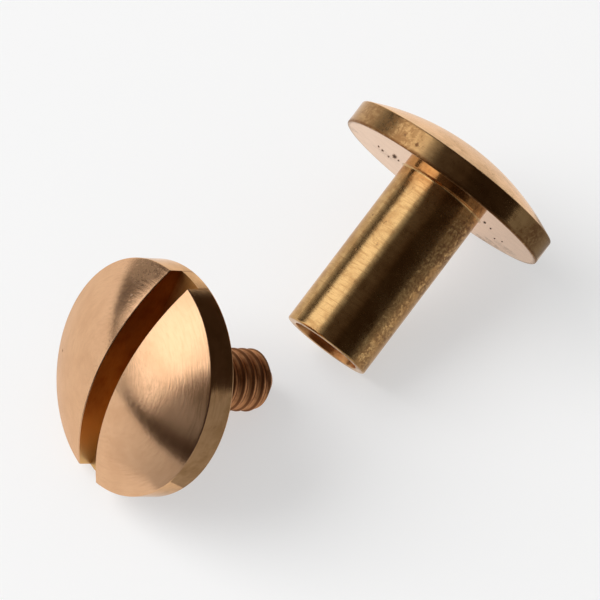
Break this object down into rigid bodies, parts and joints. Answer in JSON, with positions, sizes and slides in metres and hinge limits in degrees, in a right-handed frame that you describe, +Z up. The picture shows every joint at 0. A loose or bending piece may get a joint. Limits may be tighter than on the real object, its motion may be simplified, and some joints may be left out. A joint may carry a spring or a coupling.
{
  "type": "screw back button stud",
  "caption": "Two-piece brass button stud for leather: a slotted domed screw and the domed barrel post that it screws into, lying apart.",
  "frame": {"origin": "on the ground, in the middle of the rectangle that the two pieces cover", "axes": "+Z up; +X to the right and +Y away, as the picture's camera stands; the screw lies at -X and the post at +X"},
  "size_m": [0.0312, 0.0272, 0.0146],
  "materials": {
    "screw_brass": "turned and polished, lightly tarnished",
    "post_brass": "turned and polished, barrel mottled with tarnish"
  },
  "bodies": {
    "root": {"slotted_screw": "screw_brass", "barrel_post": "post_brass"}
  },
  "joints": []
}
